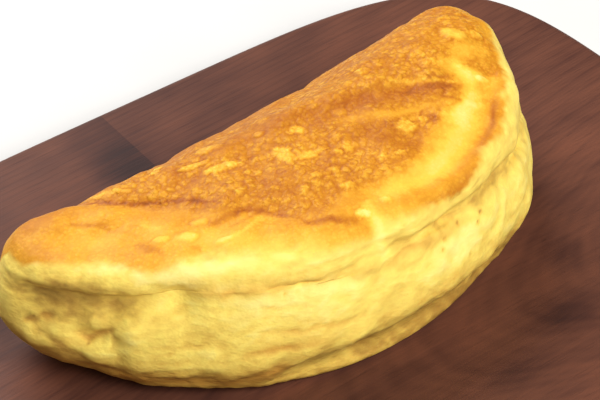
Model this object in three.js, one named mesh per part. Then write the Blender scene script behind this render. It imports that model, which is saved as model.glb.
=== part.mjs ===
// A thick folded omelette on a rounded walnut board. Millimetres, +Z up.
// The origin is the centre of the board's underside; +X runs along the board and the omelette's fold.
import * as THREE from 'three';

// ---- Board: a superellipse slab with rounded edges ----
const BOARD_LENGTH = 300;
const BOARD_WIDTH = 240;
const BOARD_THICKNESS = 15;
const BOARD_SQUARENESS = 4.6; // 2 is an ellipse, larger is nearer to a rectangle
const BOARD_EDGE_RADIUS = 4;
const BOARD_SIDES = 96;
const BOARD_EDGE_STEPS = 3;

// ---- Omelette ----
// Where it lies: its own origin, near the middle of its resting face, on the board's top.
const OMELETTE_PLACE = [16.5, 41.5, BOARD_THICKNESS];

// Widest line of the lower half, in plan, from the left tip along the rounded front to the
// right tip and back along the fold.
const OUTLINE = [
  [-118, -10], [-109, -32], [-91, -52], [-54, -73], [-12, -78], [28, -70], [53, -54], [74, -19],
  [71, 9], [51, 15], [2, 12], [-49, 6], [-92, 4], [-112, 5],
];
const RIGHT_TIP_STEP = 7.6; // the right tip, counted in points of the outline

// The spine is the middle line that both long sides run up to.
const SPINE = { left: [-82, -20], right: [46, -18], leftHeight: 46, rightHeight: 56 };

// The section, from the resting face upwards. Every size changes round the omelette and is given
// at the left tip, the front, the right tip and the folded back: how far the surface lies inside
// the outline, how high it is, and how many rings of faces lead up to it.
const SECTION = [
  { part: 'contact edge', inset: [8.5, 7.5, 12, 10], height: [7.6, 0, 2, 0.5], rings: 2 },
  { part: 'underside', inset: [3.8, 3.2, 5.5, 3], height: [13, 7, 9, 8], rings: 2 },
  { part: 'lower bulge', inset: [0.5, 0.5, 1, 0], height: [20, 18, 19, 21], rings: 2 },
  { part: 'upper slope', inset: [2.5, 3.5, 2.5, 1.5], height: [29, 31, 28, 32], rings: 3 },
  { part: 'crease', inset: [3.8, 7, 6, 4.5], height: [35, 39, 34.5, 39], rings: 3 },
  { part: 'rim', inset: [5.5, 7, 6, 9], height: [39.5, 44, 41, 43.5], rings: 2 },
  { part: 'shoulder', inset: [11.5, 11, 11, 16], height: [44, 49.5, 50.5, 47], rings: 2 },
];
const SHOULDER = SECTION.at(-1);
const BASE_INSET = 0.5; // share of the way to the spine at which the underside is flat
const CROWN_INSET = 0.5; // share of the way from shoulder to spine of the ring that rounds the top
const CROWN_RISE = 0.75; // share of the rise from shoulder to spine reached there
const BASE_RINGS = 1;
const CROWN_RINGS = 7;
const SPINE_RINGS = 5;
const STEPS_ROUND = 132;

// Folds of the browned skin: a route in plan, how wide it is to each side, and its rise.
const SKIN_FOLDS = [
  { name: 'lip', route: [[55, -34], [42, -50], [28, -61], [9, -66], [-10, -64]], width: 3.5, rise: 1.2 },
  { name: 'trough', route: [[48, -36], [34, -49], [27, -55], [8, -61], [-8, -59]], width: 4.5, rise: -2 },
  { name: 'long valley', route: [[-16, -21], [0, -23], [14, -25], [26, -30], [36, -37]], width: 4, rise: -1.3 },
  { name: 'ridge beside it', route: [[12, -18], [24, -23], [36, -31]], width: 3.5, rise: 1 },
  { name: 'notch', route: [[-85, 6], [-80, -8], [-72, -17], [-58, -28]], width: 4, rise: -1.8 },
  { name: 'short crease', route: [[-65, -40], [-51, -41], [-39, -51]], width: 3.5, rise: -1.1 },
];
const SKIN_FROM_HEIGHT = 40; // folds fade out below this height
const SKIN_FULL_HEIGHT = 46;

// Openings torn in the crumb of the front: centre, size along X, Y and Z, and depth.
const TEARS = [
  { name: 'slit', at: [-103, -35, 26], size: [7, 7, 3], depth: 2.2 },
  { name: 'crack', at: [-99, -42, 21], size: [4, 5, 8], depth: 1.1 },
  { name: 'pit', at: [-110, -19, 25], size: [6, 6, 4], depth: 1.6 },
];

// Furrows where the upper half overhangs the lower one: a route, how wide it is to each side, and
// its depth. The left one is wide, the middle one narrow, and the right one runs up to the right tip.
const FURROWS = [
  {
    name: 'left',
    route: [
      [-114, -8, 33], [-110, -19, 35], [-104, -29, 36], [-96, -38, 37], [-86, -47, 38.5],
      [-74, -55, 40],
    ],
    width: 6,
    depth: 4,
  },
  {
    name: 'middle',
    route: [
      [-92, -43, 42], [-80, -51, 41.5], [-69, -58, 41.5], [-60, -62, 41], [-50, -66, 40],
      [-38, -69, 38], [-27, -70, 35],
    ],
    width: 2.6,
    depth: 2.2,
  },
  {
    name: 'right',
    route: [
      [-25, -70, 34], [-16, -69, 37], [-7, -68, 38], [7, -67, 37], [18, -64, 37],
      [31, -60, 36], [40, -56, 35], [50, -50, 34], [61, -37, 29],
    ],
    width: 3.2,
    depth: 3.6,
  },
];

// Below the bulge the front right side is cut back, over a thin skin that stands proud.
const UNDERCUT = { fromX: -64, toX: 36, height: 8, halfHeight: 6.5, depth: 3.6, fade: 16 };

// Soft lumps all over: wavelengths and heights of three crossed waves.
const LUMPS = [
  { wavelength: 37, rise: 0.5, turn: 0.4 },
  { wavelength: 23, rise: 0.35, turn: 1.9 },
  { wavelength: 15, rise: 0.25, turn: 2.8 },
];
const LUMPS_FROM_HEIGHT = 2; // the resting face stays flat
const LUMPS_FULL_HEIGHT = 10;

const smoothstep = THREE.MathUtils.smoothstep;
const bell = (distance, width) => Math.exp(-((distance / width) ** 2));

// One closed body from rings of equally many points: rings[r] is an array of Vector3 and index(r, i)
// names the vertex that point i of ring r becomes.
function skinOf(vertices, ringCount, around, index) {
  const faces = [];
  for (let r = 0; r < ringCount - 1; r++) {
    for (let i = 0; i < around; i++) {
      const next = (i + 1) % around;
      const quad = [index(r, i), index(r, next), index(r + 1, next), index(r + 1, i)];
      for (const [a, b, c] of [[0, 1, 2], [0, 2, 3]]) {
        const corners = [quad[a], quad[b], quad[c]];
        if (new Set(corners).size === 3) faces.push(...corners);
      }
    }
  }
  const geometry = new THREE.BufferGeometry().setFromPoints(vertices);
  geometry.setIndex(faces);
  geometry.computeVertexNormals();
  return geometry;
}

// ---- Board ----
// A point of the superellipse whose half sizes are the board's less an inset.
function boardPoint(angle, inset, z) {
  const power = 2 / BOARD_SQUARENESS;
  const bend = (value) => Math.sign(value) * Math.abs(value) ** power;
  const x = (BOARD_LENGTH / 2 - inset) * bend(Math.cos(angle));
  const y = (BOARD_WIDTH / 2 - inset) * bend(Math.sin(angle));
  return new THREE.Vector3(x, y, z);
}

function boardGeometry() {
  const section = [[BOARD_WIDTH / 4, 0]];
  for (let k = 0; k <= BOARD_EDGE_STEPS; k++) {
    const turn = (Math.PI / 2) * (k / BOARD_EDGE_STEPS);
    const inset = BOARD_EDGE_RADIUS * (1 - Math.sin(turn));
    section.push([inset, BOARD_EDGE_RADIUS * (1 - Math.cos(turn))]);
  }
  const upper = section.map(([inset, z]) => [inset, BOARD_THICKNESS - z]).reverse();
  const rings = [...section, ...upper];
  const vertices = [new THREE.Vector3(0, 0, 0), new THREE.Vector3(0, 0, BOARD_THICKNESS)];
  for (const [inset, z] of rings) {
    for (let i = 0; i < BOARD_SIDES; i++) {
      vertices.push(boardPoint((2 * Math.PI * i) / BOARD_SIDES, inset, z));
    }
  }
  const last = rings.length + 1;
  const index = (r, i) => {
    if (r === 0) return 0;
    if (r === last) return 1;
    return 2 + (r - 1) * BOARD_SIDES + i;
  };
  return skinOf(vertices, rings.length + 2, BOARD_SIDES, index);
}

// ---- Omelette ----
const outlineCurve = new THREE.CatmullRomCurve3(
  OUTLINE.map(([x, y]) => new THREE.Vector3(x, y, 0)), true, 'catmullrom', 0.5,
);

// A size given at the left tip, front, right tip and back, at a turn from the left tip.
function sizeAt([left, front, right, back], turn) {
  const along = -Math.cos(turn);
  const across = -Math.sin(turn);
  const tips = (along < 0 ? left : right) * along ** 2;
  return tips + (across < 0 ? front : back) * across ** 2;
}

// The section's points at one turn: under the spine, up the side and over to the spine.
function sectionAt(turn) {
  const steps = turn <= Math.PI
    ? (turn / Math.PI) * RIGHT_TIP_STEP
    : RIGHT_TIP_STEP + (turn / Math.PI - 1) * (OUTLINE.length - RIGHT_TIP_STEP);
  const edge = outlineCurve.getPoint((steps / OUTLINE.length) % 1);
  const share = (1 - Math.cos(turn)) / 2;
  const middle = new THREE.Vector3(
    THREE.MathUtils.lerp(SPINE.left[0], SPINE.right[0], share),
    THREE.MathUtils.lerp(SPINE.left[1], SPINE.right[1], share),
    0,
  );
  const inward = middle.clone().sub(edge);
  const reach = inward.length();
  inward.normalize();
  const at = (inset, z) => edge.clone().addScaledVector(inward, inset).setZ(z);
  const top = SPINE.leftHeight + (SPINE.rightHeight - SPINE.leftHeight) * Math.sin(share * Math.PI / 2);
  const shoulder = sizeAt(SHOULDER.height, turn);
  return [
    middle,
    at(BASE_INSET * reach, 0),
    ...SECTION.map(({ inset, height }) => at(sizeAt(inset, turn), sizeAt(height, turn))),
    at(
      THREE.MathUtils.lerp(sizeAt(SHOULDER.inset, turn), reach, CROWN_INSET),
      THREE.MathUtils.lerp(shoulder, top, CROWN_RISE),
    ),
    middle.clone().setZ(top),
  ];
}

// Catmull-Rom between b and c.
function between(a, b, c, d, t) {
  const weights = [
    -t + 2 * t ** 2 - t ** 3,
    2 - 5 * t ** 2 + 3 * t ** 3,
    t + 4 * t ** 2 - 3 * t ** 3,
    -(t ** 2) + t ** 3,
  ];
  const point = new THREE.Vector3();
  [a, b, c, d].forEach((p, k) => point.addScaledVector(p, weights[k] / 2));
  return point;
}

// The smooth form, as rings[r][i] of points from the underside up to the spine.
function smoothRings() {
  const turns = Array.from({ length: STEPS_ROUND }, (_, i) => (2 * Math.PI * i) / STEPS_ROUND);
  const sections = turns.map(sectionAt);
  const counts = [BASE_RINGS, ...SECTION.map((s) => s.rings), CROWN_RINGS, SPINE_RINGS];
  const rings = [];
  const addRing = (k, t) => rings.push(sections.map((own, i) => {
    const other = sections[(STEPS_ROUND - i) % STEPS_ROUND];
    const before = k > 0 ? own[k - 1] : other[1];
    const after = k + 2 < own.length ? own[k + 2] : other[k];
    const point = between(before, own[k], own[k + 1], after, t);
    return point.setZ(Math.max(point.z, 0));
  }));
  counts.forEach((count, k) => {
    for (let step = 0; step < count; step++) addRing(k, step / count);
  });
  addRing(counts.length - 1, 1);
  return rings;
}

// Distance from a point to a route, in plan where the route is given in plan, and how far along
// the route it is, from 0 to 1.
function nearRoute(route, p) {
  let best = { distance: Infinity, along: 0 };
  for (let k = 0; k < route.length - 1; k++) {
    const flat = route[k].length === 2;
    const spot = new THREE.Vector3(p.x, p.y, flat ? 0 : p.z);
    const leg = new THREE.Line3(
      new THREE.Vector3().fromArray([...route[k], 0]),
      new THREE.Vector3().fromArray([...route[k + 1], 0]),
    );
    const t = leg.closestPointToPointParameter(spot, true);
    const distance = leg.at(t, new THREE.Vector3()).distanceTo(spot);
    if (distance < best.distance) best = { distance, along: (k + t) / (route.length - 1) };
  }
  return best;
}

function foldRise(p) {
  const skin = smoothstep(p.z, SKIN_FROM_HEIGHT, SKIN_FULL_HEIGHT);
  return SKIN_FOLDS.reduce((sum, { route, width, rise }) => {
    const { distance, along } = nearRoute(route, p);
    return sum + rise * skin * bell(distance, width) * (0.5 + Math.sin(Math.PI * along) / 2);
  }, 0);
}

function tearRise(p) {
  return -TEARS.reduce((sum, { at, size, depth }) => {
    const reach = Math.hypot(...[p.x, p.y, p.z].map((value, k) => (value - at[k]) / size[k]));
    return sum + depth * bell(reach, 1);
  }, 0);
}

function furrowRise(p) {
  return -FURROWS.reduce((sum, { route, width, depth }) => {
    const { distance, along } = nearRoute(route, p);
    return sum + depth * bell(distance, width) * Math.sqrt(Math.max(Math.sin(Math.PI * along), 0));
  }, 0);
}

function undercutRise(p, turn) {
  if (turn > Math.PI) return 0;
  const { fromX, toX, height, halfHeight, depth, fade } = UNDERCUT;
  const reach = smoothstep(p.x, fromX, fromX + fade) * (1 - smoothstep(p.x, toX - fade, toX));
  return -depth * reach * bell(p.z - height, halfHeight);
}

function lumpRise(p) {
  const free = smoothstep(p.z, LUMPS_FROM_HEIGHT, LUMPS_FULL_HEIGHT);
  return free * LUMPS.reduce((sum, { wavelength, rise, turn }) => {
    const k = (2 * Math.PI) / wavelength;
    const along = p.x * Math.cos(turn) + p.y * Math.sin(turn) + 0.6 * p.z;
    const across = p.y * Math.cos(turn) - p.x * Math.sin(turn) + 0.8 * p.z;
    return sum + rise * Math.sin(k * along) * Math.cos(k * across + turn);
  }, 0);
}

function omeletteGeometry() {
  const rings = smoothRings();
  const last = rings.length - 1;
  // On the spine the two long sides share their points.
  const fold = (i) => Math.min(i, (STEPS_ROUND - i) % STEPS_ROUND);
  const index = (r, i) => r * STEPS_ROUND + (r === 0 || r === last ? fold(i) : i);
  const geometry = skinOf(rings.flat(), rings.length, STEPS_ROUND, index);
  const position = geometry.getAttribute('position');
  const normal = geometry.getAttribute('normal');
  for (let v = 0; v < position.count; v++) {
    const p = new THREE.Vector3().fromBufferAttribute(position, v);
    const turn = (2 * Math.PI * (v % STEPS_ROUND)) / STEPS_ROUND;
    const free = smoothstep(p.z, 0, LUMPS_FROM_HEIGHT);
    const rise = foldRise(p) + tearRise(p) + furrowRise(p) + undercutRise(p, turn) + lumpRise(p);
    p.addScaledVector(new THREE.Vector3().fromBufferAttribute(normal, v), rise * free);
    position.setXYZ(v, p.x, p.y, Math.max(p.z, 0));
  }
  geometry.computeVertexNormals();
  return geometry;
}

const root = new THREE.Group();

const board = new THREE.Mesh(
  boardGeometry(),
  new THREE.MeshStandardMaterial({ color: 0x6a4238, roughness: 0.6, metalness: 0 }),
);
board.name = 'board';

const omelette = new THREE.Mesh(
  omeletteGeometry(),
  new THREE.MeshStandardMaterial({ color: 0xf0b848, roughness: 0.55, metalness: 0 }),
);
omelette.name = 'omelette';
omelette.position.set(...OMELETTE_PLACE);

root.add(board, omelette);
export default root;
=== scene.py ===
import itertools
import math

import bpy
import numpy as np
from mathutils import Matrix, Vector


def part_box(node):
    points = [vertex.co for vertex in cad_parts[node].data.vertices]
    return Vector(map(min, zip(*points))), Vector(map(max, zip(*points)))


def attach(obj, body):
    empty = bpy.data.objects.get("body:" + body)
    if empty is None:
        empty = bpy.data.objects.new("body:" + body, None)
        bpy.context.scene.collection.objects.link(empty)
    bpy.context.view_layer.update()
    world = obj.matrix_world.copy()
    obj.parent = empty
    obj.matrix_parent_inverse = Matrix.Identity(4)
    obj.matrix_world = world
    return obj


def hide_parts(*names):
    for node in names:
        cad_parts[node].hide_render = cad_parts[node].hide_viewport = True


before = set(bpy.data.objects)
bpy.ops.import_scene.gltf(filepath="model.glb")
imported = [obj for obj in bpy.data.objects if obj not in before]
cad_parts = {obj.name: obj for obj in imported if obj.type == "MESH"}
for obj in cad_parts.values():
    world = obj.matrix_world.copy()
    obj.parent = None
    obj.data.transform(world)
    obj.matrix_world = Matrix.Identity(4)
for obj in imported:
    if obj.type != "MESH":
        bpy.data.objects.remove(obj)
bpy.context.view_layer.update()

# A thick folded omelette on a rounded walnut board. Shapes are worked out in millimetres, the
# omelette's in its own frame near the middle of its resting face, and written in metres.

MM = 0.001
PI = math.pi

# ---- Board ----
BOARD_SQUARENESS = 4.6  # 2 is an ellipse, larger is nearer to a rectangle
BOARD_EDGE_RADIUS = 4.0
BOARD_SIDES = 360
BOARD_EDGE_STEPS = 8
BOARD_FACE_SHARES = (0.0, 0.35, 0.7)  # rings of the flat faces, from the middle line out
BOARD_MIDDLE_LINE = 0.6  # half length of the middle line, as a share of the board's

# ---- Omelette: the driving sizes of its solid ----
board_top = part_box("board")[1].z / MM
OMELETTE_PLACE = np.array([16.5, 41.5, board_top])
# Widest line in plan, from the left tip along the rounded front and back along the fold.
OUTLINE = np.array([
    [-118, -10], [-109, -32], [-91, -52], [-54, -73], [-12, -78], [28, -70], [53, -54],
    [74, -19], [71, 9], [51, 15], [2, 12], [-49, 6], [-92, 4], [-112, 5],
], float)
RIGHT_TIP_STEP = 7.6  # the right tip, counted in points of the outline
SPINE_LEFT, SPINE_RIGHT = np.array([-82.0, -20.0]), np.array([46.0, -18.0])
SPINE_LEFT_HEIGHT, SPINE_RIGHT_HEIGHT = 46.0, 56.0
# Stages of the section, upwards. Insets and heights are for left tip, front, right tip, back;
# the last number is how many rings of faces lead up to the stage.
SECTION = (
    ("contact edge", (8.5, 7.5, 12, 10), (7.6, 0, 2, 0.5), 8),
    ("underside", (3.8, 3.2, 5.5, 3), (13, 7, 9, 8), 9),
    ("lower bulge", (0.5, 0.5, 1, 0), (20, 18, 19, 21), 14),
    ("upper slope", (2.5, 3.5, 2.5, 1.5), (29, 31, 28, 32), 15),
    ("crease", (3.8, 7, 6, 4.5), (35, 39, 34.5, 39), 13),
    ("rim", (5.5, 7, 6, 9), (39.5, 44, 41, 43.5), 7),
    ("shoulder", (11.5, 11, 11, 16), (44, 49.5, 50.5, 47), 9),
)
BASE_INSET, CROWN_INSET, CROWN_RISE = 0.5, 0.5, 0.75
BASE_RINGS, CROWN_RINGS, SPINE_RINGS = 5, 27, 29
STEPS_ROUND = 660
DENSE_STEPS = 4000  # along the outline, to measure it

# Folds of the browned skin: route in plan, width to each side, rise.
SKIN_FOLDS = (
    ("lip", ((55, -34), (42, -50), (28, -61), (9, -66), (-10, -64)), 3.5, 1.2),
    ("trough", ((48, -36), (34, -49), (27, -55), (8, -61), (-8, -59)), 4.5, -2.0),
    ("long valley", ((-16, -21), (0, -23), (14, -25), (26, -30), (36, -37)), 4.0, -1.3),
    ("ridge beside it", ((12, -18), (24, -23), (36, -31)), 3.5, 1.0),
    ("notch", ((-85, 6), (-80, -8), (-72, -17), (-58, -28)), 4.0, -1.8),
    ("short crease", ((-65, -40), (-51, -41), (-39, -51)), 3.5, -1.1),
)
SKIN_HEIGHTS = (40, 46)
FOLD_ENDS = 0.5  # share of a fold's rise that is left at its ends
# Openings torn in the crumb: centre, size along X, Y and Z, depth.
TEARS = (
    ("slit", (-103, -35, 26), (7, 7, 3), 2.2),
    ("crack", (-99, -42, 21), (4, 5, 8), 1.1),
    ("pit", (-110, -19, 25), (6, 6, 4), 1.6),
)
# Furrows where the upper half overhangs the lower one: route, half width, depth.
FURROWS = (
    ("left", ((-114, -8, 33), (-110, -19, 35), (-104, -29, 36), (-96, -38, 37), (-86, -47, 38.5),
     (-74, -55, 40)), 6, 4),
    ("middle", ((-92, -43, 42), (-80, -51, 41.5), (-69, -58, 41.5), (-60, -62, 41), (-50, -66, 40),
     (-38, -69, 38), (-27, -70, 35)), 2.6, 2.2),
    ("right", ((-25, -70, 34), (-16, -69, 37), (-7, -68, 38), (7, -67, 37), (18, -64, 37),
     (31, -60, 36), (40, -56, 35), (50, -50, 34), (61, -37, 29)), 3.2, 3.6),
)
FURROW_ENDS = 0.16  # share of a furrow's length in which its depth comes up
UNDERCUT_X = (-64, 36)
UNDERCUT_FADE = 16
UNDERCUT_HEIGHT, UNDERCUT_HALF_HEIGHT, UNDERCUT_DEPTH = 8, 6.5, 3.6
LUMPS = ((37, 0.5, 0.4), (23, 0.35, 1.9), (15, 0.25, 2.8))  # wavelength, rise, turn
LUMP_SLANTS = (0.6, 0.8)  # share of the height that counts along and across the waves
LUMP_HEIGHTS = (2, 10)


# ---- Arrays: curves, fades and noise ----
def catmull(a, b, c, d, t):
    """Catmull-Rom: from b to c as t goes from 0 to 1, with slopes half of c - a and half of d - b."""
    cubic = (2 * b) + (c - a) * t + (2 * a - 5 * b + 4 * c - d) * t**2
    return (cubic + (3 * b - a - 3 * c + d) * t**3) / 2


def fade(values, low, high):
    """0 below low, 1 above high, and 3t^2 - 2t^3 between."""
    t = np.clip((values - low) / (high - low), 0, 1)
    return t * t * (3 - 2 * t)


def mix(a, b, share):
    """From a at a share of 0 to b at a share of 1, in a straight line."""
    return a + (b - a) * share


def bell(distance, width):
    """e^-(distance / width)^2: 1 at no distance, 0.37 at the width."""
    return np.exp(-((distance / width) ** 2))


def swell(place, ends):
    """1 in the middle of a route and the given share at its ends, as half a sine wave."""
    return ends + (1 - ends) * np.sin(PI * place)


HASH_FACTORS = np.array([0x9E3779B97F4A7C15, 0xC2B2AE3D27D4EB4F, 0x165667B19E3779F9], np.uint64)
HASH_STIR = np.uint64(0xFF51AFD7ED558CCD)
HASH_SHIFT = np.uint64(31)
HASH_KEEP = np.uint64(11)
SEED_STEP = 131
SLOPE_SEEDS, SPOT_SEEDS, OWN_SEED = (11, 23, 47), (3, 17, 29), 71
NOISE_GAIN = 1.6  # brings the noise to about -1 to 1


def scrambled(cells, seed):
    """A repeatable number from 0 to 1 for each whole-number cell: its three numbers times large
    odd factors are mixed, and the bits are stirred twice."""
    mixed = np.bitwise_xor.reduce((cells + seed * SEED_STEP).astype(np.uint64) * HASH_FACTORS, axis=-1)
    for _ in range(2):
        mixed = (mixed ^ (mixed >> HASH_SHIFT)) * HASH_STIR
    return (mixed >> HASH_KEEP) / 2.0**53


def noise(points, seed=0):
    """Gradient noise from about -1 to 1: at each corner of a cell a random slope times the way to
    the corner, blended with 6t^5 - 15t^4 + 10t^3."""
    base = np.floor(points).astype(np.int64)
    part = points - base
    ease = part**3 * (part * (part * 6 - 15) + 10)
    total = np.zeros(len(points))
    for corner in itertools.product((0, 1), repeat=3):
        cell = base + np.array(corner)
        slopes = np.stack([scrambled(cell, seed + axis) for axis in SLOPE_SEEDS], -1) * 2 - 1
        weight = np.prod(np.where(corner, ease, 1 - ease), axis=-1)
        total += weight * np.sum(slopes * (part - corner), axis=-1)
    return total * NOISE_GAIN


def layered(points, seed=0, octaves=3):
    """Noise summed over octaves, each twice as fine and half as strong."""
    return sum(noise(points * 2**k, seed + 5 * k) / 2**k for k in range(octaves))


def rough(points, wavelength, seed, octaves, height=1):
    """Layered noise of a wavelength in millimetres, times a height."""
    return height * layered(points / wavelength, seed, octaves)


def pushed(points, reach, wavelength, seeds):
    """The points, pushed along X, Y and Z by noise of a reach and a wavelength."""
    return points + reach * np.stack([noise(points / wavelength, seed) for seed in seeds], -1)


def scattered(points, seed):
    """For points scattered one to a cell: the distance to the nearest one, and its own number
    from 0 to 1."""
    base = np.floor(points).astype(np.int64)
    nearest = np.full(len(points), np.inf)
    own = np.zeros(len(points))
    for step in itertools.product((-1, 0, 1), repeat=3):
        cell = base + np.array(step)
        spot = cell + np.stack([scrambled(cell, seed + axis) for axis in SPOT_SEEDS], -1)
        distance = np.linalg.norm(points - spot, axis=-1)
        nearer = distance < nearest
        own = np.where(nearer, scrambled(cell, seed + OWN_SEED), own)
        nearest = np.where(nearer, distance, nearest)
    return nearest, own


def near_route(points, route):
    """Distance from each point to a chain of straight lines, in plan where the chain is given in
    plan, and the place of the nearest spot along it, from 0 to 1."""
    route = np.array(route, float)
    points = points[:, :route.shape[1]]
    best = np.full(len(points), np.inf)
    place = np.zeros(len(points))
    for k in range(len(route) - 1):
        leg = route[k + 1] - route[k]
        t = np.clip((points - route[k]) @ leg / (leg @ leg), 0, 1)
        distance = np.linalg.norm(points - route[k] - t[:, None] * leg, axis=-1)
        place = np.where(distance < best, (k + t) / (len(route) - 1), place)
        best = np.minimum(best, distance)
    return best, place


def inside_loop(points, loop):
    """Signed distance in plan to a closed chain of straight lines, positive inside."""
    loop = np.array(loop, float)
    distance, _ = near_route(points, np.vstack([loop, loop[:1]]))
    x, y = points[:, 0], points[:, 1]
    crossings = np.zeros(len(points), bool)
    for (ax, ay), (bx, by) in zip(loop, np.roll(loop, -1, axis=0)):
        beside = (ay > y) != (by > y)
        rise = by - ay if by != ay else 1.0
        crossings ^= beside & (x < ax + (y - ay) / rise * (bx - ax))
    return np.where(crossings, distance, -distance)


# ---- Meshes ----
def grid_faces(rows, around, index):
    """Quads between neighbouring rows of a closed band, facing outwards when rows go upwards and
    the points of a row go round against the clock."""
    r, i = np.meshgrid(np.arange(rows - 1), np.arange(around), indexing="ij")
    after = (i + 1) % around
    corners = (index[r, i], index[r, after], index[r + 1, after], index[r + 1, i])
    return np.stack(corners, -1).reshape(-1, 4)


def closed_on_lines(index):
    """Faces of a band whose first and last rows are folded flat: their near and far points are
    the same."""
    rows, around = index.shape
    fold = np.minimum(np.arange(around), -np.arange(around) % around)
    index[0] = index[0][fold]
    index[-1] = index[-1][fold]
    return grid_faces(rows, around, index)


def mean_normals(points, faces):
    """Unit normals at the points: the sum of the crossed diagonals of the quads round each one."""
    corners = points[faces]
    across = np.cross(corners[:, 2] - corners[:, 0], corners[:, 3] - corners[:, 1])
    total = np.zeros_like(points)
    for k in range(faces.shape[1]):
        np.add.at(total, faces[:, k], across)
    length = np.linalg.norm(total, axis=-1, keepdims=True)
    return total / np.maximum(length, np.finfo(float).tiny)


def put_mesh(name, points, faces, material, masks=None):
    """An object at the origin from points in millimetres and faces of equally many corners, with
    one number per point for each mask."""
    mesh = bpy.data.meshes.new(name)
    mesh.vertices.add(len(points))
    mesh.vertices.foreach_set("co", (points * MM).astype(np.float32).ravel())
    mesh.loops.add(faces.size)
    mesh.loops.foreach_set("vertex_index", faces.astype(np.int32).ravel())
    mesh.polygons.add(len(faces))
    starts = np.arange(0, faces.size, faces.shape[1], dtype=np.int32)
    mesh.polygons.foreach_set("loop_start", starts)
    mesh.update(calc_edges=True)
    mesh.validate()
    mesh.shade_smooth()
    for mask, values in (masks or {}).items():
        layer = mesh.attributes.new(mask, "FLOAT", "POINT")
        layer.data.foreach_set("value", values.astype(np.float32))
    mesh.materials.append(material)
    made = bpy.data.objects.new(name, mesh)
    bpy.context.scene.collection.objects.link(made)
    return made


# ---- Board ----
def board_surface():
    """Half sizes less an inset give a superellipse, x = a cos^(2/n) and y = b sin^(2/n); rings of
    it run from a middle line over the underside, round the edge in two quarter circles and over
    the top to a middle line, which both long sides share."""
    low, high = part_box("board")
    half = np.array([(high.x - low.x), (high.y - low.y)]) / 2 / MM
    turn = 2 * PI * np.arange(BOARD_SIDES) / BOARD_SIDES
    wheel = np.stack([np.cos(turn), np.sin(turn)], -1)
    wheel = np.sign(wheel) * np.abs(wheel) ** (2 / BOARD_SQUARENESS)
    quarter = PI / 2 * np.arange(BOARD_EDGE_STEPS + 1) / BOARD_EDGE_STEPS
    inset = BOARD_EDGE_RADIUS * (1 - np.sin(quarter))
    height = BOARD_EDGE_RADIUS * (1 - np.cos(quarter))
    flat = half - BOARD_EDGE_RADIUS
    rings = [
        wheel * flat * (mix(BOARD_MIDDLE_LINE, 1, share), share) for share in BOARD_FACE_SHARES
    ]
    rings += [wheel * (half - step) for step in inset]
    heights = [0.0] * len(BOARD_FACE_SHARES) + list(height)
    rings += rings[::-1]
    heights += [board_top - z for z in heights[::-1]]
    points = np.concatenate([
        np.column_stack([ring, np.full(BOARD_SIDES, z)]) for ring, z in zip(rings, heights)
    ])
    index = np.arange(len(points)).reshape(len(rings), BOARD_SIDES)
    used, faces = np.unique(closed_on_lines(index), return_inverse=True)
    return points[used], faces.reshape(-1, 4)


# ---- Omelette: the smooth form ----
def outline_at(turn):
    """A point of the widest line: a closed Catmull-Rom curve through the outline's points, half a
    turn from the left tip to the right tip along the front and half a turn back."""
    count = len(OUTLINE)
    back = RIGHT_TIP_STEP + (turn / PI - 1) * (count - RIGHT_TIP_STEP)
    steps = np.where(turn <= PI, turn / PI * RIGHT_TIP_STEP, back)
    whole = np.floor(steps).astype(int)
    a, b, c, d = (OUTLINE[(whole + k) % count] for k in (-1, 0, 1, 2))
    return catmull(a, b, c, d, (steps - whole)[:, None])


def size_at(sizes, turn):
    """A size given at the left tip, front, right tip and back: their mean weighted by the squares
    of the cosine and sine of the turn."""
    left, front, right, back = sizes
    along, across = -np.cos(turn), -np.sin(turn)
    tips = np.where(along < 0, left, right) * along**2
    return tips + np.where(across < 0, front, back) * across**2


def even_turns():
    """Turns whose points lie evenly along the mean of the front and the back, so that each turn
    has its mirror image."""
    dense = np.linspace(0, PI, DENSE_STEPS)
    front = np.linalg.norm(np.diff(outline_at(dense), axis=0), axis=-1)
    back = np.linalg.norm(np.diff(outline_at((2 * PI - dense) % (2 * PI)), axis=0), axis=-1)
    length = np.concatenate([[0], np.cumsum(front + back)])
    half = np.interp(np.linspace(0, length[-1], STEPS_ROUND // 2 + 1), length, dense)
    return np.concatenate([half, 2 * PI - half[-2:0:-1]])


def sections_at(turn):
    """The section's points for every turn, from under the spine up the side to the spine."""
    edge = outline_at(turn)
    share = (1 - np.cos(turn)) / 2
    middle = mix(SPINE_LEFT, SPINE_RIGHT, share[:, None])
    inward = middle - edge
    reach = np.linalg.norm(inward, axis=-1)
    inward = inward / reach[:, None]
    top = mix(SPINE_LEFT_HEIGHT, SPINE_RIGHT_HEIGHT, np.sin(share * PI / 2))

    def at(inset, z):
        return np.column_stack([edge + inward * inset[:, None], z])

    insets = [size_at(inset, turn) for _, inset, _, _ in SECTION]
    heights = [size_at(height, turn) for _, _, height, _ in SECTION]
    zero = np.zeros(len(turn))
    return np.stack([
        np.column_stack([middle, zero]),
        at(BASE_INSET * reach, zero),
        *(at(inset, height) for inset, height in zip(insets, heights)),
        at(mix(insets[-1], reach, CROWN_INSET), mix(heights[-1], top, CROWN_RISE)),
        np.column_stack([middle, top]),
    ])


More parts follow.
